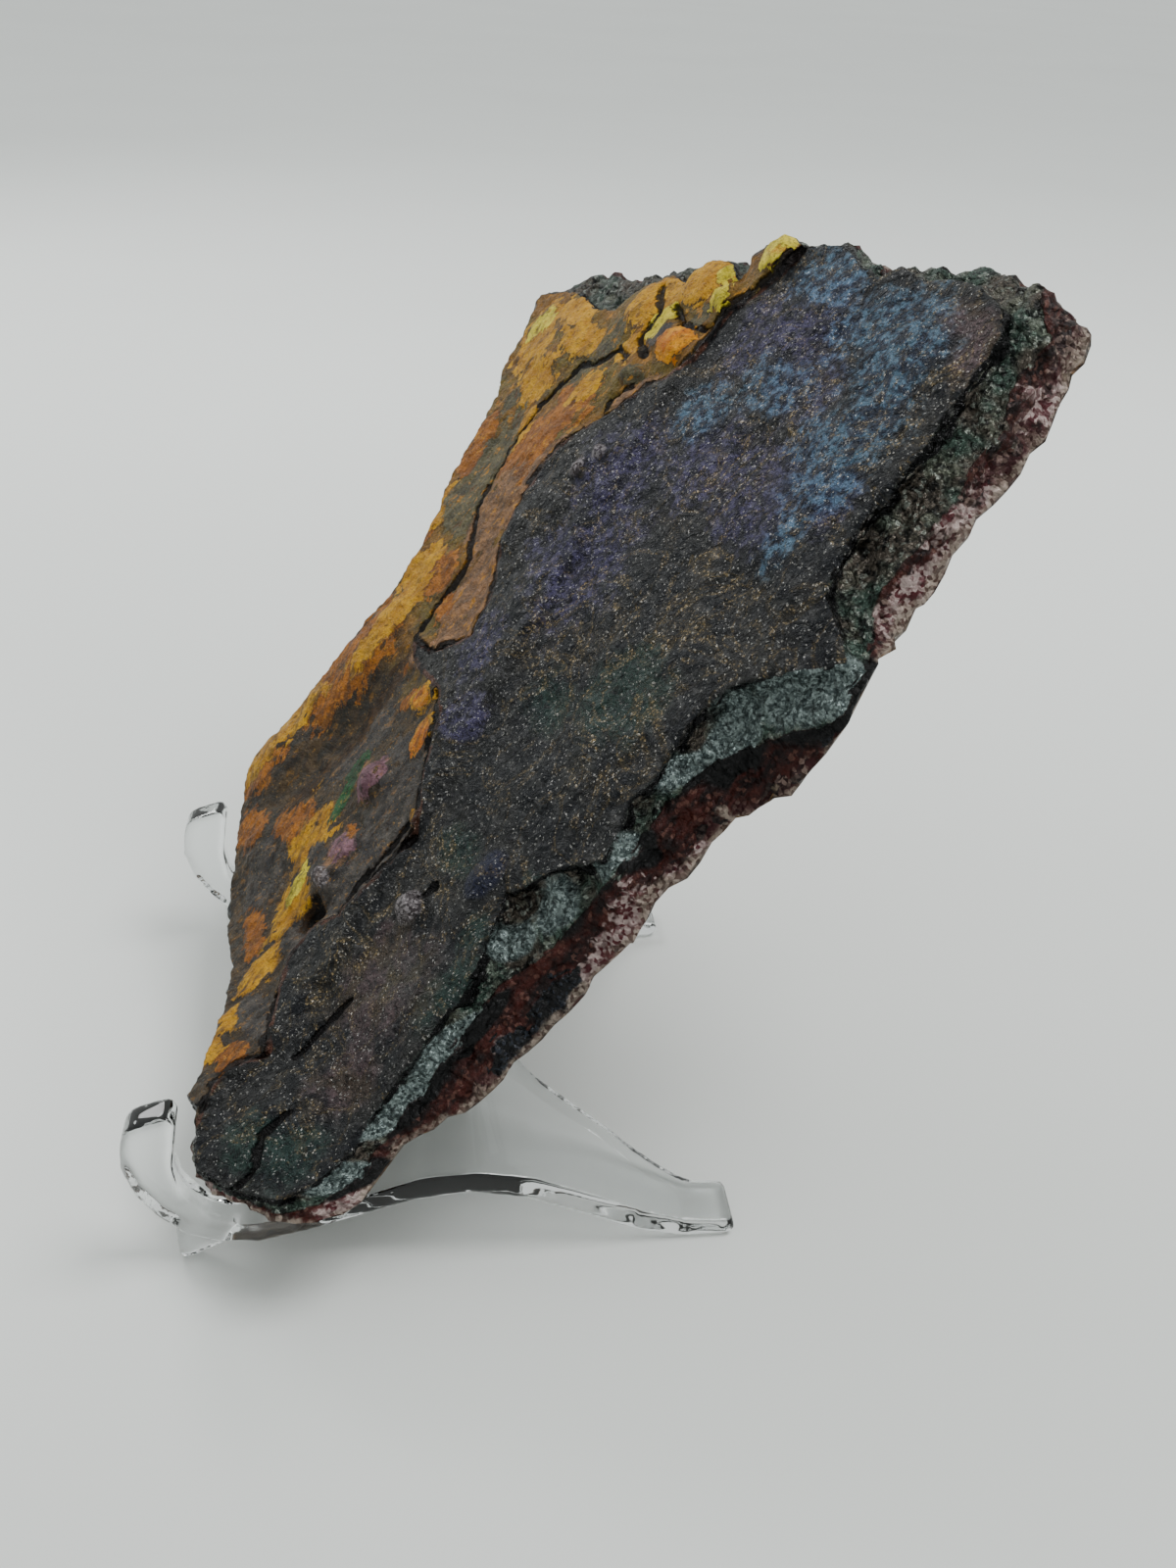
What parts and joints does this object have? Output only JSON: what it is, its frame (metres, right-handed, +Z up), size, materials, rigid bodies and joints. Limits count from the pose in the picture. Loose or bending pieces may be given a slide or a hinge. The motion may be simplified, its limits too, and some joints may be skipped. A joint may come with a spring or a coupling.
{
  "type": "turgite specimen on a clear easel",
  "caption": "Flat iridescent turgite slab with a golden crust and a broken layered edge, resting on a clear hooked easel.",
  "frame": {"origin": "on the surface that the easel stands on, under the middle of the whole object", "axes": "+Z up, the slab's face looks towards -Y and up, +X towards the slab's broken edge"},
  "size_m": [0.1341, 0.1169, 0.1144],
  "materials": {
    "turgite": "dark metallic crystal crust, iridescent",
    "clear_plastic": "clear moulded plastic"
  },
  "bodies": {
    "root": {"turgite_slab": "turgite", "easel": "clear_plastic"}
  },
  "joints": []
}
